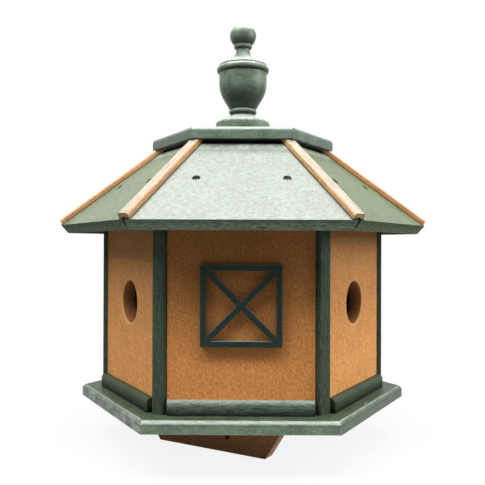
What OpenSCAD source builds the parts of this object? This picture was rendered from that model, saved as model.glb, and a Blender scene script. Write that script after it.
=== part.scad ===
// Six-sided gazebo birdhouse of plastic lumber: a base plate on two post cleats, six square-cut
// wall boards with strips let into their corner joints, a hipped roof of six boards with
// battens over the hips, and a turned urn finial on a hexagonal cap.
// Millimetres. +Z is up and -Y is the front. The origin is on the floor, under the axis.

/* [Base plate] */
// Width of the base plate across its corners
base_across_corners = 317.5; // [300:0.5:340]
// Thickness of the base plate
base_t = 11.1; // [8:0.1:16]
// Radius of the rounded top edges of the base plate and the cap
edge_round = 4.8; // [1:0.1:6]

/* [Walls] */
// Distance from the axis to the outside of a wall
wall_apothem = 117.9; // [112:0.1:122]
// Thickness of a wall board
wall_t = 12.7; // [10:0.1:16]
// Height of a wall board at its outside face
wall_h = 177; // [160:0.1:200]

/* [Entry holes] */
// Diameter of an entry hole
hole_d = 38.1; // [25:0.1:50]
// Height of a hole's centre above the base plate
hole_z = 86.9; // [60:0.1:120]
// Radius of a hole's rounded outside lip
lip_round = 2; // [0.5:0.1:4]

/* [Windows] */
// Outside width and height of a window
window_size = 66.7; // [50:0.1:90]
// Width of a window's bars
window_bar = 4.8; // [3:0.1:8]
// Height of a window's centre above the base plate
window_z = 88.9; // [60:0.1:120]

/* [Trim strips] */
// Width of a post
post_w = 11.1; // [8:0.1:12]
// Radius of the eased front edges of a post
post_ease = 1.6; // [0.5:0.1:3]
// Thickness of the posts, baseboards and windows
strip_t = 6.35; // [4:0.05:8]
// Height of a baseboard
baseboard_h = 12; // [8:0.1:16]
// Radius of a baseboard's rounded upper edge
baseboard_round = 3.8; // [1:0.1:3.9]
// Gap at each end of a baseboard, beside the post
baseboard_gap = 0.8; // [0.2:0.1:3]

/* [Roof] */
// Pitch of a roof panel, in degrees
roof_pitch = 40; // [35:1:45]
// Thickness of a roof panel
panel_t = 10.5; // [8:0.1:12]
// Distance from the axis to the eave, at the top face of a panel
eave_apothem = 157.2; // [145:0.1:165]
// Distance from the axis to a panel's upper end, at its top face
crown_apothem = 73.4; // [68:0.1:76]
// Bevel of a panel's sloping edges, in degrees from square. A full mitre would need 19.
hip_bevel = 10; // [0:1:18]
// Diameter of a screw recess in a panel
recess_d = 7.2; // [5:0.1:10]
// Depth of a screw recess
recess_depth = 3.2; // [1:0.1:5]
// Distance from the axis to the screw recesses, at the top face
recess_apothem = 114.5; // [90:0.1:130]
// Distance from a panel's middle to each screw recess
recess_x = 37.5; // [20:0.1:45]

/* [Hip battens] */
// Width of a hip batten
batten_w = 10.3; // [8:0.1:14]
// Thickness of a batten at its edges
batten_t = 5.6; // [4:0.1:8]
// Radius of a batten's rounded upper edges
batten_round = 2.4; // [0.5:0.1:3.5]
// Distance of a batten's lower end from the corner of the eave
batten_setback = 3; // [0:0.1:8]

/* [Hub and cap] */
// Distance from the axis to the outside of the hub, where the panels bear on it
hub_apothem = 76; // [70:0.1:80]
// Height of the upright outside face of the hub
hub_side = 10; // [5:0.1:20]
// Gap between the upper ends of the panels and the cap
cap_gap = 4.2; // [2:0.1:8]
// Width of the cap across its corners
cap_across_corners = 179.4; // [170:0.1:190]
// Thickness of the cap
cap_t = 11.1; // [8:0.1:16]

/* [Finial] */
// Radius of the foot
foot_r = 26.8; // [24:0.1:30]
// Height at which the foot starts to round over
foot_h = 14.1; // [10:0.1:15]
// Radius of the foot's rounded shoulder
foot_round = 4; // [2:0.1:5]
// Slope of the foot up to the waist, in degrees from level
foot_slope = 24; // [20:1:26]
// Radius of the waist under the body
waist_r = 11.7; // [9:0.1:12]
// Outside radius of the bead on the waist
bead_r = 13.8; // [12.5:0.1:15]
// Radius of the bead's own section
bead_round = 2.8; // [2:0.1:3]
// Height of the bead's widest place
bead_h = 27.2; // [26.8:0.1:28]
// Height at which the body starts
body_low = 30; // [29:0.1:33]
// Taper of the body's lower half, in degrees from upright
body_taper = 31; // [24:1:34]
// Radius of the curve between the taper and the upright side
body_round = 32; // [20:0.5:36]
// Height at which the body stands upright
body_high = 56; // [52:0.1:60]
// Radius of the body where it stands upright
body_r = 23.6; // [20:0.1:25]
// Outside radius of the rim
rim_r = 25.9; // [24:0.1:28]
// Radius of the rim's own section
rim_round = 3.9; // [3:0.1:4.5]
// Height of the rim's widest place
rim_h = 68.8; // [67:0.1:69]
// Outside radius of the lid
lid_r = 23.8; // [22:0.1:24.5]
// Radius of the lid's rounded edge
lid_round = 0.7; // [0.4:0.1:1]
// Height of the lid's widest place
lid_h = 73.2; // [73:0.1:74]
// Slope of the lid up to its cove, in degrees from level
lid_slope = 21; // [15:1:25]
// Smallest radius of the neck
neck_r = 6.7; // [5:0.1:8]
// Height of the neck's smallest place
neck_h = 89.4; // [88:0.1:91]
// Radius of the cove that hollows the neck
cove_r = 13.3; // [10:0.1:14]
// Outside radius of the collar under the ball
collar_r = 8.9; // [8:0.1:10]
// Radius of the collar's rounded lower edge
collar_round = 2.1; // [1.5:0.1:2.5]
// Radius of the ball
ball_r = 13.1; // [12:0.1:14]
// Height of the ball's widest place
ball_h = 103.7; // [102:0.1:106]
// Height of the finial
finial_h = 115.1; // [114:0.1:116]
// Radius of the curve between the ball's side and its flattened crown
cheek_r = 9; // [7:0.1:10]

/* [Post cleats] */
// Clear width between the cleats, for a post 88.9 square
post_gap = 89.5; // [89:0.1:92]
// Height of a cleat
cleat_h = 38.1; // [30:0.1:50]
// Thickness of a cleat
cleat_t = 12.7; // [10:0.1:16]
// Length of a cleat's lower edge
cleat_foot = 115; // [100:0.1:130]
// Slope of a cleat's ends, in degrees from level
cleat_end_angle = 58; // [50:1:80]
// Diameter of a screw hole in a cleat
cleat_hole_d = 4.8; // [3:0.1:6]
// Distance of each screw hole from a cleat's middle
cleat_hole_x = 18; // [10:0.5:40]
// Height of the screw holes above the floor
cleat_hole_z = 13.5; // [8:0.1:25]

/* [Hidden] */
// The six sides and the six corners, anticlockwise from the front and from the front left
SIDES = ["front", "front_right", "back_right", "back", "back_left", "front_left"];
CORNERS = ["front_left", "front_right", "right", "back_right", "back_left", "left"];
HOLE_SIDES = [1, 3, 5];
WINDOW_SIDES = [0, 2, 4];

function named(places, piece) = [for (place = places) str(place, "_", piece)];

$fn = 64;
turn = 60;
half_turn = turn / 2;
corner_start = -half_turn;
reach = 400;
green = "#34503f";
cedar = "#b9793f";

base_z = cleat_h;
floor_z = base_z + base_t;
base_apothem = base_across_corners / 2 * cos(half_turn);

// The walls are square-cut, so they meet along their inner corners
wall_inner = wall_apothem - wall_t;
wall_w = 2 * wall_inner * tan(half_turn);

// The underside and the top of the roof are two pyramids, one panel apart
function under_z(apothem) = floor_z + wall_h + (wall_apothem - apothem) * tan(roof_pitch);
function top_z(apothem) = under_z(apothem) + panel_t / cos(roof_pitch);
// How far a square-cut edge leans outward, from a panel's underside to its top face
panel_lean = panel_t * sin(roof_pitch);
panel_length = (eave_apothem - crown_apothem) / cos(roof_pitch);

cap_z = top_z(crown_apothem) + cap_gap;
cap_apothem = cap_across_corners / 2 * cos(half_turn);
finial_z = cap_z + cap_t;

// The hip's own pitch, and the fall of a roof face each side of it, square to the hip
hip_pitch = atan(tan(roof_pitch) * cos(half_turn));
hip_fall = asin(sin(roof_pitch) * sin(half_turn));

// A corner strip is let in until its back edges meet the square-cut ends of the walls
post_back = wall_inner / cos(half_turn) + post_w / 2 / tan(half_turn);

// A strip's section: its flat back on the X axis and its two front edges rounded
module strip_section(width, thickness, round_r) {
    half_w = width / 2;
    translate([-half_w, 0]) square([width, thickness - round_r]);
    translate([round_r - half_w, 0]) square([width - 2 * round_r, thickness]);
    for (side = [-1, 1])
        translate([side * (half_w - round_r), thickness - round_r]) circle(round_r);
}

// A hexagonal plate with a rounded top edge
module hex_plate(apothem, thickness) {
    flat = apothem - edge_round;
    intersection_for (i = [0:2])
        rotate([90, 0, i * turn + half_turn]) linear_extrude(reach, center = true) {
            translate([-apothem, 0]) square([2 * apothem, thickness - edge_round]);
            translate([-flat, 0]) square([2 * flat, thickness]);
            for (side = [-1, 1])
                translate([side * flat, thickness - edge_round]) circle(edge_round);
        }
}

// A hexagonal block with upright sides, cut off by the underside of the roof
module under_roof(apothem, low_z) {
    intersection_for (i = [0:2])
        rotate([90, 0, i * turn + half_turn]) linear_extrude(reach, center = true)
            polygon([
                [-apothem, low_z], [apothem, low_z], [apothem, under_z(apothem)],
                [0, under_z(0)], [-apothem, under_z(apothem)]
            ]);
}

module base_plate() color(green) translate([0, 0, base_z]) hex_plate(base_apothem, base_t);

module cap() color(green) translate([0, 0, cap_z]) hex_plate(cap_apothem, cap_t);

// The block at the peak: the panels bear on its bevelled shoulder and the cap on its neck
module roof_hub() color(green) {
    neck_apothem = crown_apothem - panel_lean;
    low_z = under_z(hub_apothem) - hub_side;
    intersection() {
        under_roof(hub_apothem, low_z);
        cylinder(top_z(crown_apothem), r = reach);
    }
    translate([0, 0, low_z])
        cylinder(cap_z - low_z, r = neck_apothem / cos(half_turn), $fn = 6);
}

// A wall board, bevelled on top to lie under its roof panel
module wall(i) color(cedar) rotate(i * turn) difference() {
    rotate([90, 0, 90]) linear_extrude(wall_w, center = true)
        polygon([
            [-wall_apothem, floor_z], [-wall_inner, floor_z],
            [-wall_inner, under_z(wall_inner)], [-wall_apothem, under_z(wall_apothem)]
        ]);
    if (len(search(i, HOLE_SIDES)) > 0) entry_hole();
}

// An entry hole, with a torus left standing round its rim as the rounded lip
module entry_hole() translate([0, -wall_apothem, floor_z + hole_z]) rotate([90, 0, 0]) {
    rim = hole_d / 2 + lip_round;
    cylinder(reach, d = hole_d, center = true);
    rotate_extrude() difference() {
        translate([0, -lip_round]) square([rim, 2 * lip_round]);
        translate([rim, -lip_round]) circle(lip_round);
    }
}

// A window: a square frame with both diagonals, cut from one sheet
module window(i) color(green) rotate(i * turn)
    translate([0, -wall_apothem, floor_z + window_z]) rotate([90, 0, 0]) linear_extrude(strip_t) {
        open_size = window_size - 2 * window_bar;
        difference() {
            square(window_size, center = true);
            square(open_size, center = true);
        }
        intersection() {
            square(window_size, center = true);
            for (side = [-1, 1])
                rotate(side * 45) square([reach, window_bar], center = true);
        }
    }

// A baseboard, flat on the wall and the base plate, with its upper edge rounded
module baseboard(i) color(green) rotate(i * turn) rotate([90, 0, 90])
    linear_extrude(wall_w - 2 * baseboard_gap, center = true)
        translate([-wall_apothem - strip_t, floor_z]) difference() {
            square([strip_t, baseboard_h]);
            translate([0, baseboard_h - baseboard_round]) difference() {
                square(baseboard_round);
                translate([baseboard_round, 0]) circle(baseboard_round);
            }
        }

module post(i) color(green) intersection() {
    rotate(i * turn + corner_start)
        translate([0, -post_back, floor_z]) rotate(180) linear_extrude(reach)
            strip_section(post_w, strip_t, post_ease);
    under_roof(eave_apothem, floor_z);
}

// A roof board, square-cut at the eave and the crown, with two recesses for its screws. Its
// sloping edges are bevelled less than a mitre needs, so that a narrow V is left at each hip.
module roof_panel(i) color(green) rotate(i * turn)
    translate([0, panel_lean - eave_apothem, under_z(eave_apothem - panel_lean)])
        rotate([roof_pitch, 0, 0]) difference() {
            recess_y = (eave_apothem - recess_apothem) / cos(roof_pitch);
            intersection() {
                translate([-reach / 2, 0, 0]) cube([reach, panel_length, panel_t]);
                panel_edge(hip_bevel);
                mirror([1, 0, 0]) panel_edge(hip_bevel);
            }
            for (side = [-1, 1])
                translate([side * recess_x, recess_y, panel_t - recess_depth])
                    cylinder(panel_t, d = recess_d);
        }

// All that lies inside a panel's sloping edge, in the plane of its underside
module panel_edge(bevel) {
    eave_half = (eave_apothem - panel_lean) * tan(half_turn);
    crown_half = (crown_apothem - panel_lean) * tan(half_turn);
    translate([eave_half, 0, 0])
        rotate([0, bevel, atan((eave_half - crown_half) / panel_length)])
            translate([-reach, -reach, -reach]) cube([reach, 2 * reach, 2 * reach]);
}

// A batten runs up the hip to the underside of the cap, with a V in its back to fit the hip
module hip_batten(i) color(cedar) intersection() {
    rotate(i * turn + corner_start)
        translate([0, -eave_apothem / cos(half_turn), top_z(eave_apothem)])
            rotate([hip_pitch - 90, 0, 0]) mirror([0, 1, 0])
                translate([0, 0, batten_setback]) linear_extrude(reach) difference() {
                    v_depth = batten_w / 2 * tan(hip_fall);
                    translate([0, -2 * v_depth])
                        strip_section(batten_w, batten_t + v_depth, batten_round);
                    polygon([
                        [0, 0], [reach, -reach * tan(hip_fall)], [-reach, -reach * tan(hip_fall)]
                    ]);
                }
    cylinder(cap_z, r = reach);
}

// The finial is one turning, drawn as half its outline from its seat on the cap
module finial() color(green) translate([0, 0, finial_z]) rotate_extrude() intersection() {
    union() {
        foot_outline();
        body_outline();
        lid_outline();
        ball_outline();
    }
    square([foot_r, finial_h]);
}

module foot_outline() {
    slope_r = foot_r - foot_round * (1 - sin(foot_slope));
    slope_h = foot_h + foot_round * cos(foot_slope);
    square([foot_r, foot_h]);
    translate([foot_r - foot_round, foot_h]) circle(foot_round);
    polygon([
        [0, foot_h], [foot_r - foot_round, foot_h], [slope_r, slope_h],
        [waist_r, slope_h + (slope_r - waist_r) * tan(foot_slope)], [0, bead_h]
    ]);
    square([waist_r, body_low]);
    translate([bead_r - bead_round, bead_h]) circle(bead_round);
}

// The body tapers out to a curve and then stands upright, up to the rim
module body_outline() {
    curve_r = body_r - body_round;
    taper_r = curve_r + body_round * cos(body_taper);
    taper_h = body_high - body_round * sin(body_taper);
    polygon([
        [0, body_low], [taper_r - (taper_h - body_low) * tan(body_taper), body_low],
        [taper_r, taper_h], [0, taper_h]
    ]);
    intersection() {
        translate([curve_r, body_high]) circle(body_round);
        square([body_r, rim_h]);
    }
    translate([0, body_high]) square([body_r, lid_h - body_high]);
    translate([rim_r - rim_round, rim_h]) circle(rim_round);
}

// The lid has a thin edge above the rim, and sweeps up into the neck in one cove
module lid_outline() {
    edge_r = lid_r - lid_round;
    cove_low_r = neck_r + cove_r * (1 - sin(lid_slope));
    cove_low_h = neck_h - cove_r * cos(lid_slope);
    translate([edge_r, lid_h]) circle(lid_round);
    polygon([
        [0, rim_h], [rim_r - rim_round, rim_h], [edge_r, lid_h], [edge_r, lid_h + lid_round],
        [cove_low_r, cove_low_h], [0, cove_low_h]
    ]);
    difference() {
        translate([0, lid_h]) square([cove_low_r, neck_h - lid_h]);
        translate([neck_r + cove_r, neck_h]) circle(cove_r);
    }
}

// The ball sits on a collar. A crown of larger radius flattens its top, tangent to both cheeks
module ball_outline() {
    collar_h = ball_h - sqrt(ball_r ^ 2 - collar_r ^ 2);
    rise = finial_h - ball_h;
    cheek_x = ball_r - cheek_r;
    crown_r = (cheek_x ^ 2 + rise ^ 2 - cheek_r ^ 2) / 2 / (rise - cheek_r);
    crown_low = (crown_r - rise) * cheek_r / (crown_r - cheek_r);
    square([neck_r, ball_h]);
    translate([0, collar_h - 2 * collar_round])
        square([collar_r - collar_round, collar_round]);
    translate([0, collar_h - collar_round]) square([collar_r, collar_round]);
    translate([collar_r - collar_round, collar_h - collar_round]) circle(collar_round);
    intersection() {
        translate([0, ball_h]) circle(ball_r);
        translate([0, collar_h]) square([ball_r, ball_h - collar_h]);
    }
    translate([cheek_x, ball_h]) circle(cheek_r);
    intersection() {
        translate([0, finial_h - crown_r]) circle(crown_r);
        translate([0, ball_h + crown_low]) square([ball_r, rise]);
    }
}

// A cleat under the base plate, one each side of the post
module cleat(side) color(cedar) rotate(-half_turn) {
    lean = cleat_h / tan(cleat_end_angle);
    difference() {
        translate([0, side * (post_gap / 2 + cleat_t / 2), 0]) rotate([90, 0, 0])
            linear_extrude(cleat_t, center = true)
                polygon([
                    [-cleat_foot / 2, 0], [cleat_foot / 2, 0],
                    [cleat_foot / 2 + lean, cleat_h], [-cleat_foot / 2 - lean, cleat_h]
                ]);
        for (x = [-cleat_hole_x, cleat_hole_x])
            translate([x, 0, cleat_hole_z]) rotate([90, 0, 0])
                cylinder(reach, d = cleat_hole_d, center = true);
    }
}

finial();
cap();
roof_hub();
for (i = [0:5]) {
    roof_panel(i);
    hip_batten(i);
    wall(i);
    post(i);
    baseboard(i);
}
for (i = WINDOW_SIDES)
    window(i);
base_plate();
cleat(-1);  // front_cleat
cleat(1);  // back_cleat
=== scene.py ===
"""A gazebo birdhouse of plastic lumber, in metres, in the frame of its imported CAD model.

+Z is up, -Y is the front and the origin is on the floor under the axis. After the camera and the
studio, the sections follow the house as it is put together: the base and its cleats, the walls and
their trim, the roof, and the finial. Each board is its CAD solid, with its arrises eased and a
finish of its own. Only the roof screws are modelled here.
"""
import math

import bpy
from mathutils import Matrix, Vector


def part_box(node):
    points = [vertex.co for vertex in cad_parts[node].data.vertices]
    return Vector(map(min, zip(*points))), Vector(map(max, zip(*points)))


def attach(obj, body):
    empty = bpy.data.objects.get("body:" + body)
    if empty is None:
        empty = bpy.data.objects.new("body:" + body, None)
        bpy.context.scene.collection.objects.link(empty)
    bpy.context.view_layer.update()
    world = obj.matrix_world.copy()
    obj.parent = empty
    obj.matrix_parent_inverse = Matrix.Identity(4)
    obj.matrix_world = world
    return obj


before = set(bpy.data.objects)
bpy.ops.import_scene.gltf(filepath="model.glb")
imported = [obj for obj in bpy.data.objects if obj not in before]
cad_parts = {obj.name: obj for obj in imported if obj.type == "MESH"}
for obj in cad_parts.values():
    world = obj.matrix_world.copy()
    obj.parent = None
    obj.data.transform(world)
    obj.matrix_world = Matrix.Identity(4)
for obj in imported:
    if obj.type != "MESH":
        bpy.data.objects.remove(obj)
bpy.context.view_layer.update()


# Camera. It stands two thirds of a metre in front of the axis, a little lower than the eave, and
# looks straight ahead, so that the base is seen from above and the cap from below.
camera_place = Vector((0.004, -0.6569, 0.1876))
camera_lens, camera_sensor = 48.97, 36
camera_yaw, camera_pitch, camera_roll = (math.radians(a) for a in (-0.34, -0.22, 0.19))

camera = bpy.data.objects.new("camera", bpy.data.cameras.new("camera"))
camera.data.lens = camera_lens
camera.data.sensor_width = camera_sensor
to_camera = (
    Matrix.Rotation(camera_roll, 3, "Y")
    @ Matrix.Rotation(camera_pitch, 3, "X")
    @ Matrix.Rotation(camera_yaw, 3, "Z")
)
aim = to_camera.transposed() @ Matrix.Rotation(math.radians(90), 3, "X")
camera.matrix_world = Matrix.Translation(camera_place) @ aim.to_4x4()
bpy.context.scene.collection.objects.link(camera)
bpy.context.scene.camera = camera
bpy.context.scene.view_settings.view_transform = "Standard"


# Studio. A narrow softbox hangs high in front of the house and a broad one overhead, and a lit
# panel stands at each side. The room is white to the eye, and dim as a source of light.
class Field:
    """A socket of a node tree: a number, vector, colour or shader. Arithmetic adds Math nodes."""

    def __init__(self, tree, socket=None):
        self.tree = tree
        self.socket = socket

    def node(self, kind, settings=None, inputs=None, output=0):
        """Adds a node: first its settings, then its sockets, each a plain value or a Field."""
        made = self.tree.nodes.new("ShaderNode" + kind)
        for name, value in (settings or {}).items():
            setattr(made, name, value)
        for name, value in (inputs or {}).items():
            if isinstance(value, Field):
                self.tree.links.new(value.socket, made.inputs[name])
            else:
                made.inputs[name].default_value = value
        return Field(self.tree, made.outputs[output] if made.outputs else None)

    def _math(self, operation, first, second):
        return self.node("Math", {"operation": operation}, {0: first, 1: second})

    def __add__(self, other):
        return self._math("ADD", self, other)

    def __sub__(self, other):
        return self._math("SUBTRACT", self, other)

    def __rsub__(self, other):
        return self._math("SUBTRACT", other, self)

    def __mul__(self, other):
        return self._math("MULTIPLY", self, other)

    def __or__(self, other):
        return self._math("MAXIMUM", self, other)

    __radd__ = __add__
    __rmul__ = __mul__

    def dot(self, direction):
        """How far this vector points along a direction, given as a vector or a Field."""
        return self.node("VectorMath", {"operation": "DOT_PRODUCT"}, {0: self, 1: direction}, "Value")

    def length(self):
        """How long this vector is."""
        return self.node("VectorMath", {"operation": "LENGTH"}, {0: self}, "Value")

    def size(self):
        """This number without its sign."""
        return self.node("Math", {"operation": "ABSOLUTE"}, {0: self})

    def between(self, low, high):
        """0 up to low, 1 from high on, and a smooth rise between them."""
        limits = {"Value": self, "From Min": low, "From Max": high}
        return self.node("MapRange", {"interpolation_type": "SMOOTHSTEP"}, limits)

    def of(self, vector):
        """A plain colour or vector, times this number."""
        return self.node("VectorMath", {"operation": "SCALE"}, {0: vector, "Scale": self})

    def lit(self, light):
        """This colour made lighter or darker."""
        return self.node("VectorMath", {"operation": "SCALE"}, {0: self, "Scale": light})

    def mix(self, first, second):
        """The first colour where this is 0 and the second where it is 1."""
        return self.node("Mix", {"data_type": "RGBA"}, {0: self, 6: first, 7: second}, 2)

    def blend(self, first, second):
        """The first surface where this is 0 and the second where it is 1."""
        return self.node("MixShader", {}, {0: self, 1: first, 2: second})


def seen_directly(tree):
    """1 for what the eye sees, straight or in a mirror or glass, and 0 for light on the house."""
    seen = Field(tree).node("LightPath", output="Is Camera Ray")
    for kind in ("Glossy", "Transmission"):
        seen = seen | Field(tree).node("LightPath", output=f"Is {kind} Ray")
    return seen


room_light = 0.05
world = bpy.data.worlds.new("room")
bpy.context.scene.world = world
world.use_nodes = True
background = world.node_tree.nodes["Background"]
strength = seen_directly(world.node_tree) * (1 - room_light) + room_light
world.node_tree.links.new(strength.socket, background.inputs["Strength"])
background.inputs["Color"].default_value = (1, 1, 1, 1)

# To the eye the floor is as white as the room, apart from a faint shadow that fades away from the
# house. To the house it is a darker matte, which throws little light up.
floor_reach = 2.5
floor_bounce, floor_white = 0.2, 0.7
floor_shadow, floor_fade = 0.12, (0.3, 0.7)
corners = [(x * floor_reach, y * floor_reach, 0) for x, y in ((-1, -1), (1, -1), (1, 1), (-1, 1))]
floor_mesh = bpy.data.meshes.new("floor")
floor_mesh.from_pydata(corners, [], [(0, 1, 2, 3)])
floor = bpy.data.objects.new("floor", floor_mesh)
bpy.context.scene.collection.objects.link(floor)

floor_paint = bpy.data.materials.new("floor")
floor_paint.use_nodes = True
tree = floor_paint.node_tree
tree.nodes.clear()
place = Field(tree).node("NewGeometry", output="Position")
shadow_share = floor_shadow * (1 - place.length().between(*floor_fade))
floor_grey = seen_directly(tree).mix((floor_bounce,) * 3 + (1,), (floor_white,) * 3 + (1,))
matte = place.node("BsdfDiffuse", {}, {"Color": floor_grey})
glow = place.node("Emission", {}, {"Color": (1, 1, 1, 1), "Strength": 1})
glow_share = seen_directly(tree) * (1 - shadow_share)
place.node("OutputMaterial", {}, {"Surface": glow_share.blend(matte, glow)})
floor_mesh.materials.append(floor_paint)


lamp_distance = 1.6
lamp_centre = Vector((0, 0, 0.2))


def softbox(name, azimuth, elevation, span, radiance):
    """A rectangular lamp that faces the house, by the degrees it spans and how bright its face is.

    The azimuth runs anticlockwise from the front, seen from above.
    """
    around, up = math.radians(azimuth - 90), math.radians(elevation)
    outwards = Vector((math.cos(up) * math.cos(around), math.cos(up) * math.sin(around), math.sin(up)))
    lamp = bpy.data.lights.new(name, "AREA")
    lamp.shape = "RECTANGLE"
    lamp.size, lamp.size_y = (2 * lamp_distance * math.tan(math.radians(angle / 2)) for angle in span)
    lamp.energy = radiance * math.pi * lamp.size * lamp.size_y
    box = bpy.data.objects.new(name, lamp)
    box.location = lamp_centre + lamp_distance * outwards
    box.rotation_euler = (-outwards).to_track_quat("-Z", "Y").to_euler()
    bpy.context.scene.collection.objects.link(box)


softbox("front_softbox", azimuth=0, elevation=60, span=(60, 12), radiance=10.8)
softbox("top_softbox", azimuth=180, elevation=88, span=(60, 34), radiance=6.6)
softbox("right_panel", azimuth=80, elevation=22, span=(35, 36), radiance=6.5)
softbox("left_panel", azimuth=-60, elevation=42, span=(35, 24), radiance=7.2)


# Base plate. A hexagon of green plastic lumber, sawn from a wide board, with its upper edge
# routed to a quarter round. Handling has scuffed the routed edge and left its arrises paler, and
# the rounding is painted pale as well, as a painted highlight.
MM = 0.001
UP = Vector((0, 0, 1))
TURN = math.radians(60)
# No speck is darker than this share of the colour round it.
DARKEST_SPECK = 0.2


def outward(i):
    """The level direction out of side i, counted anticlockwise from the front.

    Half a side less gives the direction out of the corner before it.
    """
    angle = TURN * i - math.radians(90)
    return Vector((math.cos(angle), math.sin(angle), 0))


def level(i):
    """The level direction along side i, anticlockwise."""
    out = outward(i)
    return Vector((-out.y, out.x, 0))


class Finish:
    """The finish of one piece, with its patterns drawn out along the way that the piece was made.

    A routed plate or a turned piece states no such way, and its patterns are drawn out level.
    """

    def __init__(self, name, along=None):
        self.material = bpy.data.materials.new(name)
        self.material.use_nodes = True
        self.material.node_tree.nodes.clear()
        self.where = Field(self.material.node_tree).node("TexCoord", output="Object")
        self.normal = self.where.node("NewGeometry", output="Normal")
        self.along = along
        self.patterns = 0

    def pattern(self, size, stretch=1, detail=2, rough=0.5):
        """Noise from about -1 to 1, with specks of that size in mm, stretched along the piece.

        Each pattern of a piece is moved away from the ones before it, so that no two are alike.
        """
        self.patterns += 1
        offset = Vector((0.37, 0.61, 0.83)) * self.patterns
        if self.along is None:
            squash = (1 / stretch, 1 / stretch, 1)
            place = self.where.node("VectorMath", {"operation": "MULTIPLY"}, {0: self.where, 1: squash})
        else:
            squash = self.where.dot(self.along).of(self.along * (1 / stretch - 1))
            place = self.where.node("VectorMath", {"operation": "ADD"}, {0: self.where, 1: squash})
        place = place.node("VectorMath", {"operation": "ADD"}, {0: place, 1: offset})
        values = {"Vector": place, "Scale": 1 / (size * MM), "Detail": detail, "Roughness": rough}
        return (place.node("TexNoise", {}, values) - 0.5) * 3

    def reach(self, direction):
        """How far along that direction a place lies, in mm from the origin."""
        return self.where.dot(direction) * (1 / MM)

    def facing(self, direction, low=0.6, high=0.9):
        """1 where the surface faces that way and 0 where it doesn't, by the cosine between them."""
        return self.normal.dot(direction).between(low, high)

    def arris(self, radius=0.8):
        """1 along the arrises and 0 on the flat, from how far a rounding of that many mm turns."""
        rounded = self.where.node("Bevel", {"samples": 4}, {"Radius": radius * MM})
        return (1 - self.normal.dot(rounded)).between(0.02, 0.15)

    def plastic(self, colour, gloss, sheen, relief):
        """A plastic surface, by its colour, roughness, specular level and relief in mm."""
        normal = self.where.node("Bump", {}, {"Strength": 1, "Distance": MM, "Height": relief})
        values = {"Base Color": colour, "Roughness": gloss, "Specular IOR Level": sheen, "Normal": normal}
        return self.where.node("BsdfPrincipled", {}, values)

    def paint(self, surface):
        """Puts the surface on the piece, and returns the material."""
        self.where.node("OutputMaterial", {}, {"Surface": surface})
        return self.material


def coat(node, finish):
    """Gives a CAD piece its finish, and returns the piece."""
    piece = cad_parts[node]
    for slot in piece.material_slots:
        slot.material = finish
    return piece


def finish_board(node, finish, ease_by=0.5):
    """Gives a CAD board its finish and eases its sawn arrises, by that many mm."""
    board = coat(node, finish)
    board.data.shade_smooth()
    weld = board.modifiers.new("join the faces", "WELD")
    weld.merge_threshold = 0.01 * MM
    ease = board.modifiers.new("ease the arrises", "BEVEL")
    ease.width = ease_by * MM
    ease.segments = 3
    ease.limit_method = "ANGLE"
    ease.angle_limit = math.radians(30)
    board.modifiers.new("shade the faces flat", "WEIGHTED_NORMAL")


def routed_green(name, top, side, pale_wear_and_highlight, gloss, sheen, side_edge_light, crease_shade=0, scuffed=None):
    """A hexagonal plate: a mottled top, a rounded edge painted pale, and scuffs that run round it.

    The pale rounding is a painted highlight over pale wear on the arrises. The side_edge_light is how
    light the side edges are painted beside the front and back ones: painted shade. The groove is
    how dark the painted shade under the rounding is. Scuffed is the way that the most scuffed edge
    faces.
    """
    plate = Finish(name)
    speck = plate.pattern(1.6, detail=3, rough=0.6)
    cloud = plate.pattern(14)
    drawn = plate.pattern(0.7, stretch=16, detail=3, rough=0.6)
    scuff = (plate.pattern(1.1, stretch=9, detail=4) + plate.pattern(9)).between(0.7, 1.3)
    # The rounding that faces up is painted pale with the arrises: a painted highlight over real wear.
    rounding = plate.facing(UP, 0.2, 0.6) * (1 - plate.facing(UP, 0.86, 0.98))
    # Side edges: painted darker as painted shade, with most of the painted highlight kept off them.
    side_edge_mask = plate.normal.dot(level(0)).size().between(0.3, 0.8)
    wear_and_highlight = (rounding + plate.arris(1.2) * 0.8) * (0.8 + 0.4 * drawn + 0.4 * speck)
    wear_and_highlight = wear_and_highlight * (1 - 0.8 * side_edge_mask)

    colour = plate.facing(UP, 0.4, 0.95).mix((*side, 1), (*top, 1))
    colour = colour.lit((1 + 0.45 * speck + 0.35 * cloud + 0.3 * drawn) | DARKEST_SPECK)
    colour = (scuff * 0.5 + wear_and_highlight.between(0, 1) * 0.85).mix(colour, (*pale_wear_and_highlight, 1))

    # Painted shade in the crease under the rounding.
    below_rounding = plate.facing(UP, 0.01, 0.08) * (1 - plate.facing(UP, 0.1, 0.3))
    colour = colour.lit(1 - crease_shade * below_rounding)
    # Painted shade on the side edges.
    colour = colour.lit(1 - (1 - side_edge_light) * side_edge_mask)
    if scuffed is not None:
        patch = plate.facing(scuffed) * (0.4 + 0.6 * drawn + 0.8 * cloud).between(0, 1)
        colour = (patch * 0.4).mix(colour, (*pale_wear_and_highlight, 1))
    relief = 0.03 * speck + 0.04 * drawn
    return plate.paint(plate.plastic(colour, gloss + 0.05 * cloud + 0.05 * drawn, sheen, relief))


front_left = outward(5)
finish_board("base_plate", routed_green(
    "base_plate_green", top=(0.062, 0.093, 0.055), side=(0.19, 0.252, 0.181), pale_wear_and_highlight=(0.5, 0.58, 0.51),
    gloss=0.42, sheen=0.14, side_edge_light=0.48, crease_shade=0.5, scuffed=front_left))


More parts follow.
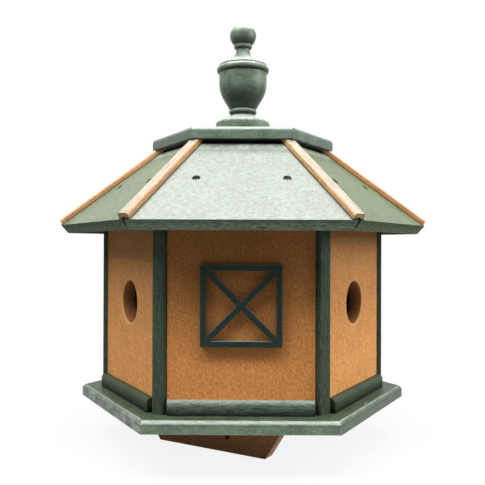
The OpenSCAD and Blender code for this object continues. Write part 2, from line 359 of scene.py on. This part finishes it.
# Post cleats. Two cedar coloured boards with sloping ends, fixed under the base plate either side
# of the post. They lie square to the way out of the front left corner, and each has two holes for
# the screws that hold the house to the post.
def cedar_board(
    name, along, colour, gloss, sheen, grain=0.4, streaks=0.14, top=None, painted_light=None, seam=None
):
    """Cedar coloured plastic: grains of a paler and a darker brown, faintly drawn out.

    The top is the way of a face painted paler, as painted sheen, and that face's colour. The stain
    is a function that adds the painted light and shade of one kind of board. The seam is a
    direction, and the places in mm along it between which the painted shade of a joint ends.
    """
    board = Finish(name, along)
    speck = board.pattern(1.5, stretch=1.7, detail=3, rough=0.65)
    fine = board.pattern(0.9)
    cloud = board.pattern(24)
    drawn = board.pattern(1.1, stretch=18, detail=3)
    light = 1 + grain * speck + 0.4 * grain * fine + 0.1 * cloud + streaks * drawn
    red, green, blue = colour
    darker = (red * 0.94, green * 0.86, blue * 0.8, 1)
    paler = (red * 1.06, green * 1.14, blue * 1.2, 1)
    shade = (0.5 + 0.8 * speck).mix(darker, paler)
    # A top face painted paler: painted sheen from the light above.
    if top is not None:
        top_way, top_colour = top
        shade = board.facing(top_way, 0.5, 0.85).mix(shade, (*top_colour, 1))
    shade = shade.lit(light | DARKEST_SPECK)
    if painted_light is not None:
        shade = painted_light(board, shade)
    # The arrises are painted pale: wear, and a painted highlight.
    pale_wear_and_highlight = board.arris(0.9) * 0.35
    shade = pale_wear_and_highlight.mix(shade, (*(min(1, part * 1.6) for part in colour), 1))
    # Painted shade along the joint under the board.
    if seam is not None:
        across, shade_deep, shade_ends = seam
        shade = shade.lit(0.08 + 0.92 * board.reach(across).between(shade_deep, shade_ends))
    relief = 0.025 * speck + 0.02 * drawn
    return board.paint(board.plastic(shade, gloss + 0.05 * cloud, sheen, relief))


for node in ("front_cleat", "back_cleat"):
    finish = cedar_board(
        node + "_cedar", level(-0.5), colour=(0.64, 0.3, 0.115), gloss=0.5, sheen=0.2)
    finish_board(node, finish, ease_by=0.4)


# Walls. Six cedar coloured boards, square-cut, so that they meet along their inner corners and
# leave a joint for the corner posts. Three have a round entry hole with a routed lip.
SIDES = ["front", "front_right", "back_right", "back", "back_left", "front_left"]
HOLE_SIDES = (1, 3, 5)
base_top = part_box("base_plate")[1].z / MM
wall_apothem = -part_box("front_wall")[0].y / MM
hole_radius, lip_round = 19.05, 2
hole_height = base_top + 86.9
bore_fade = (1, 12)
eave_shade_fade = (75, 200)


def entry_hole(board, shade, middle, out):
    """The bore of a hole is painted darker inwards, as painted shade, and the lip round its outer end
    is painted pale, as a painted highlight.

    The bore_fade is the depths in mm between which it darkens.
    """
    from_middle = board.where.node("VectorMath", {"operation": "SUBTRACT"}, {0: board.where, 1: middle})
    aside = from_middle.node("VectorMath", {"operation": "CROSS_PRODUCT"}, {0: from_middle, 1: out})
    radius = aside.length() * (1 / MM)
    depth = from_middle.dot(out) * (-1 / MM)
    in_bore = 1 - radius.between(hole_radius - 0.15, hole_radius + 0.35)
    lip_radius = hole_radius + lip_round
    on_lip = (1 - radius.between(lip_radius - 0.45, lip_radius + 0.25)) * (1 - in_bore)
    # Painted shade deeper in the bore, and a painted highlight on the lip.
    bore = depth.between(*bore_fade).mix((0.4, 0.165, 0.06, 1), (0.07, 0.026, 0.01, 1))
    return (on_lip * 0.45).mix(in_bore.mix(shade, bore), (0.8, 0.46, 0.21, 1))


def wall_painted_light(board, shade, i):
    """A wall is painted lighter at its foot and darker at its top, as painted shade under the eave.

    The eave_shade_fade is the heights in mm between which the lighter foot passes into the darker top. A
    wall with an entry hole also gets the painted shade and highlight of its hole.
    """
    # Painted shade under the eave: lighter at the foot, darker towards the top.
    shade = shade.lit(1.14 - 0.42 * board.reach(UP).between(*eave_shade_fade))
    if i in HOLE_SIDES:
        middle = (outward(i) * wall_apothem + UP * hole_height) * MM
        shade = entry_hole(board, shade, middle, outward(i))
    return shade


for i, side in enumerate(SIDES):
    node = f"{side}_wall"
    # Walls with a hole, front-left and front-right among them, are painted paler: painted light.
    colour = (0.59, 0.272, 0.091) if i in HOLE_SIDES else (0.565, 0.234, 0.072)
    finish = cedar_board(
        node + "_cedar", UP, colour, gloss=0.65, sheen=0.06,
        painted_light=lambda board, shade: wall_painted_light(board, shade, i))
    finish_board(node, finish)


# Baseboards. A strip of green plastic with a rounded upper edge lies along the foot of each wall,
# cut a little short of the posts, so that a dark slot shows at each end.
def green_strip(name, along, colour, gloss, sheen, wear_and_highlight, streaks=0.5, foot=None):
    """Green plastic drawn through a die: streaks along it, pale wear on the arrises, and ledges
    painted pale as painted light from above.

    The foot is the heights in mm between which the painted shade of the joint below it fades out.
    """
    strip = Finish(name, along)
    speck = strip.pattern(1.5, detail=3, rough=0.6)
    drawn = strip.pattern(0.5, stretch=14, detail=3, rough=0.6)
    cloud = strip.pattern(16)
    # Ledges that face up are painted pale, as painted light, with the arrises' wear.
    edges = strip.arris() * 0.5 + strip.facing(UP, 0.3, 0.95) * 0.8
    pale_wear_and_highlight = (edges * (0.8 + 0.6 * drawn + 0.3 * speck)).between(0, 1)
    shade = ((1 + 0.5 * speck + streaks * drawn + 0.15 * cloud) | DARKEST_SPECK).of(colour)
    shade = pale_wear_and_highlight.mix(shade, (*wear_and_highlight, 1))
    # Painted shade at the foot, where the strip meets the base plate.
    if foot is not None:
        shade = shade.lit(0.1 + 0.9 * strip.reach(UP).between(*foot))
    return strip.paint(strip.plastic(shade, gloss + 0.06 * drawn, sheen, 0.03 * speck + 0.05 * drawn))


# Heights in mm of the painted shade at the foot of each baseboard.
joint_shade = (base_top - 0.2, base_top + 10.8)
for i, side in enumerate(SIDES):
    node = f"{side}_baseboard"
    # The front and back strips are painted paler and the side ones darker: painted light and shade.
    if side in ("front", "back"):
        colour, wear_and_highlight = (0.142, 0.186, 0.15), (0.36, 0.41, 0.37)
    else:
        colour, wear_and_highlight = (0.04, 0.062, 0.033), (0.06, 0.085, 0.05)
    finish = green_strip(
        node + "_green", level(i), colour, gloss=0.5, sheen=0.1, wear_and_highlight=wear_and_highlight, streaks=1.4, foot=joint_shade)
    finish_board(node, finish, ease_by=0.4)


# Posts. A strip of green plastic is let in at each corner, in the joint between two walls. It
# runs from the base plate up to the roof, and its front arrises are rounded.
CORNERS = ["front_left", "front_right", "right", "back_right", "back_left", "left"]
for corner in CORNERS:
    node = f"{corner}_post"
    finish = green_strip(
        node + "_green", UP, colour=(0.048, 0.07, 0.046), gloss=0.5, sheen=0.1, wear_and_highlight=(0.11, 0.15, 0.11),
        streaks=1.1)
    finish_board(node, finish, ease_by=0.3)


# Windows. A square frame with crossed bars, cut in one piece from thin green sheet, lies flat on
# each wall that has no entry hole.
for i, side in enumerate(SIDES):
    if i in HOLE_SIDES:
        continue
    node = f"{side}_window"
    # The ledges of the bars that face up are painted pale, as painted light.
    finish = green_strip(
        node + "_green", level(i), colour=(0.02, 0.034, 0.027), gloss=0.45, sheen=0.1, wear_and_highlight=(0.3, 0.36, 0.33))
    finish_board(node, finish, ease_by=0.3)


# Roof hub. A block of green plastic that the panels bear on and the cap is fixed to. Only its
# side shows, as a dark line in the gap under the cap: its colour is painted near black, as painted
# shade.
finish_board("roof_hub", green_strip(
    "roof_hub_green", level(0), colour=(0.012, 0.018, 0.012), gloss=0.6, sheen=0.05, wear_and_highlight=(0.03, 0.04, 0.03)))


# Roof panels. Six green boards with rough-sawn edges, each held by two screws in recesses. Their
# tops have a fine pebbled sheen that takes the light of the sky.
roof_pitch = math.radians(40)
eave_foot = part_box("front_roof_panel")[0].z / MM
eave_fade = (eave_foot + 2.1, eave_foot + 7.6)
cap_fade = (77.5, 83)
batten_edge = 5.3
# The angle between a hip and the straight way up a panel, in the plane of the panel.
hip_slant = math.atan(math.tan(TURN / 2) * math.cos(roof_pitch))


def roof_face(i):
    """The way that the top of panel i faces."""
    return outward(i) * math.sin(roof_pitch) + UP * math.cos(roof_pitch)


def roof_board(name, i, green, sheen, sawn_green, batten_shade_edge):
    """A panel: a fine pebbled sheen on top, and dark streaky saw marks round its edges.

    The top is painted paler beside the cap, as painted sheen, and the cap_fade is where that
    ends, in mm from the axis. A dark line of painted shade lies beside each batten, up to the
    batten_shade_edge in mm from the hip. The sawn edge of the eave darkens upwards between the heights of
    the eave_fade.
    """
    board = Finish(name, level(i))
    from_axis = board.reach(outward(i))
    from_middle = board.reach(level(i)).size()
    from_hip = (from_axis * math.tan(TURN / 2) - from_middle) * math.cos(hip_slant)

    pebble = board.pattern(2.4, detail=3, rough=0.6)
    mottle = board.pattern(3.3, detail=1)
    cloud = board.pattern(22)
    # Painted sheen near the cap, where the cap hides the light above.
    by_cap = 1 - from_axis.between(*cap_fade)
    top = (by_cap * 0.8).mix((*green, 1), (0.3, 0.34, 0.28, 1))
    top = top.lit((1 + 0.35 * pebble + 0.5 * mottle + 0.25 * cloud) | DARKEST_SPECK)
    weathered = board.plastic(top, 0.37 + 0.05 * mottle + 0.02 * cloud, sheen, 0.02 * pebble)

    drawn = board.pattern(0.55, stretch=9, detail=4, rough=0.65)
    chip = board.pattern(1.6, stretch=3, detail=3)
    # The arrises are painted pale: wear, and a painted highlight.
    wear_and_highlight = board.arris(1) * (0.55 + 0.7 * chip).between(0, 1)
    edge = ((1 + 1.1 * drawn + 0.5 * chip) | 0.1).of(sawn_green)
    edge = edge.lit(1.2 - 0.4 * board.reach(UP).between(*eave_fade))
    edge = (0.7 * wear_and_highlight).mix(edge, (0.34, 0.4, 0.33, 1))
    on_top = board.facing(roof_face(i), 0.75, 0.95)
    # A dark line of painted shade beside each batten.
    batten_shade = 1 - from_hip.between(batten_edge, batten_shade_edge)
    edge = (batten_shade * on_top).mix(edge, (0.02, 0.027, 0.02, 1))
    sawn = board.plastic(edge, 0.75, 0.06, 0.12 * drawn + 0.05 * chip)
    return board.paint((on_top * (1 - batten_shade) * (0.93 + 0.28 * mottle)).blend(sawn, weathered))


# Opposite panels look alike. The first pair is the front and the back one, and the others follow
# anticlockwise. Their greens differ from pair to pair as painted light and shade, for how the
# lamps fall on each pair.
panel_looks = [
    {"green": (0.085, 0.113, 0.077), "sheen": 1, "sawn_green": (0.2, 0.26, 0.19), "batten_shade_edge": 6.5},
    {"green": (0.066, 0.1, 0.038), "sheen": 0.76, "sawn_green": (0.085, 0.113, 0.065), "batten_shade_edge": 8},
    {"green": (0.086, 0.124, 0.058), "sheen": 0.87, "sawn_green": (0.1, 0.135, 0.086), "batten_shade_edge": 8},
]
for i, side in enumerate(SIDES):
    node = f"{side}_roof_panel"
    finish = roof_board(node + "_green", i, **panel_looks[i % len(panel_looks)])
    finish_board(node, finish, ease_by=0.6)


# Roof screws. Two stainless pan-head screws with a square drive hold each panel, their heads
# sunk in its recesses. The outline of a head is radii and heights above its seat, in mm.
head_outline = ((2.9, -0.3), (2.9, 0.1), (2.75, 0.5), (2.3, 0.9), (1.7, 1.1))
head_top = 1.15
head_steps = 48
drive_half, drive_depth, drive_taper = 0.95, 0.9, 0.9
crown_apothem = 73.4
crown_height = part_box("front_roof_panel")[1].z / MM
recess_apothem, recess_side, recess_depth = 114.5, 37.5, 3.2
recess_height = crown_height - (recess_apothem - crown_apothem) * math.tan(roof_pitch)


def screw_steel():
    """Bright steel, finely specked, and darker on the sides of the head and in its drive."""
    steel = Finish("screw_steel")
    speck = steel.pattern(0.5, detail=3)
    drive = 1 - steel.facing(UP, 0.2, 0.6)
    bright = (1 + 0.3 * speck).of((0.55, 0.54, 0.5))
    colour = (drive * 0.6).mix(bright, (0.1, 0.09, 0.07, 1))
    normal = steel.where.node("Bump", {}, {"Strength": 1, "Distance": MM, "Height": 0.01 * speck})
    values = {"Base Color": colour, "Roughness": 0.35 + 0.1 * speck, "Metallic": 1, "Normal": normal}
    return steel.paint(steel.where.node("BsdfPrincipled", {}, values))


def screw_head(name, seat, way_out, finish):
    """One head: a low dome turned on its outline, with a square drive sunk in the middle."""
    points, faces = [], []
    for step in range(head_steps):
        angle = math.radians(360 / head_steps * step)
        drive = drive_half / max(abs(math.cos(angle)), abs(math.sin(angle)))
        outline = head_outline + ((drive, head_top), (drive * drive_taper, head_top - drive_depth))
        points += [(r * math.cos(angle), r * math.sin(angle), z) for r, z in outline]
    rings = len(points) // head_steps
    for step in range(head_steps):
        this, following = step * rings, (step + 1) % head_steps * rings
        faces += [(this + r, following + r, following + r + 1, this + r + 1) for r in range(rings - 1)]
    faces.append([step * rings + rings - 1 for step in range(head_steps)])
    faces.append([step * rings for step in reversed(range(head_steps))])
    mesh = bpy.data.meshes.new(name)
    mesh.from_pydata([Vector(point) * MM for point in points], [], faces)
    mesh.shade_smooth()
    mesh.materials.append(finish)
    head = bpy.data.objects.new(name, mesh)
    head.matrix_world = Matrix.Translation(seat) @ way_out.to_track_quat("Z", "Y").to_matrix().to_4x4()
    bpy.context.scene.collection.objects.link(head)
    edges = head.modifiers.new("keep the drive crisp", "EDGE_SPLIT")
    edges.split_angle = math.radians(40)
    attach(head, "root")


steel_finish = screw_steel()
for i, side in enumerate(SIDES):
    for hand, across in (("left", -recess_side), ("right", recess_side)):
        mouth = outward(i) * recess_apothem + level(i) * across + UP * recess_height
        seat = (mouth - roof_face(i) * recess_depth) * MM
        screw_head(f"{side}_{hand}_roof_screw", seat, roof_face(i), steel_finish)


# Hip battens. A cedar coloured strip covers each hip, from the corner of the eave to the cap. Its
# back is hollowed to sit on both panels, and its top is painted a paler, greyer brown, as painted
# sheen from the light above.
hip_pitch = math.atan(math.tan(roof_pitch) * math.cos(TURN / 2))
plain_brown = (0.44, 0.2, 0.066)
# Some battens are painted lighter or darker: painted light and shade, for how the lamps fall.
other_browns = {
    "left": (0.54, 0.27, 0.1),
    "front_left": (0.4, 0.2, 0.063),
    "front_right": (0.5, 0.3, 0.136),
}
# How far a hip lies from the origin, square to itself. The painted shade of the joint ends just
# under it.
crown_corner = crown_apothem / math.cos(TURN / 2)
hip_line = crown_corner * math.sin(hip_pitch) + crown_height * math.cos(hip_pitch)
seam_fade = (hip_line - 1.3, hip_line - 0.7)
for i, corner in enumerate(CORNERS):
    node = f"{corner}_hip_batten"
    out = outward(i - 0.5)
    up_hip = UP * math.sin(hip_pitch) - out * math.cos(hip_pitch)
    over_hip = UP * math.cos(hip_pitch) + out * math.sin(hip_pitch)
    finish = cedar_board(
        node + "_cedar", up_hip, other_browns.get(corner, plain_brown), gloss=0.45, sheen=0.5,
        grain=0.3, streaks=0.45, top=(over_hip, (0.36, 0.293, 0.218)), seam=(over_hip, *seam_fade))
    finish_board(node, finish, ease_by=0.3)


# Cap. A small green hexagon, sawn and routed as the base plate is, closes the peak and carries the
# finial. It is fixed down on the hub, a little clear of the panels.
finish_board("cap", routed_green(
    "cap_green", top=(0.15, 0.19, 0.145), side=(0.145, 0.2, 0.152), pale_wear_and_highlight=(0.44, 0.5, 0.42),
    gloss=0.4, sheen=0.22, side_edge_light=0.62))


# Finial. An urn turned in one piece of green plastic, with fine tool marks round it. The slopes
# that face up are painted pale, as painted light from above, and the underside of the body is
# painted dark, as painted shade.
turned = Finish("finial_green")
speck = turned.pattern(1.7, detail=3, rough=0.6)
cloud = turned.pattern(9)
turning = turned.pattern(0.6, stretch=30)
# Painted light on the slopes that face up, and painted shade underneath.
painted_top_light = (turned.normal.dot(UP) + 0.1 * cloud).between(0.12, 1)
clear_of_under_shade = turned.normal.dot(UP).between(-0.7, 0.02)
shade = clear_of_under_shade.mix((0.018, 0.026, 0.018, 1), (0.115, 0.162, 0.113, 1))
shade = painted_top_light.mix(shade, (0.42, 0.48, 0.41, 1))
shade = shade.lit((1 + 0.5 * speck + 0.45 * cloud + 0.3 * turning) | DARKEST_SPECK)
relief = 0.02 * speck + 0.015 * turning
coat("finial", turned.paint(turned.plastic(shade, 0.38 + 0.06 * cloud, 0.25, relief)))
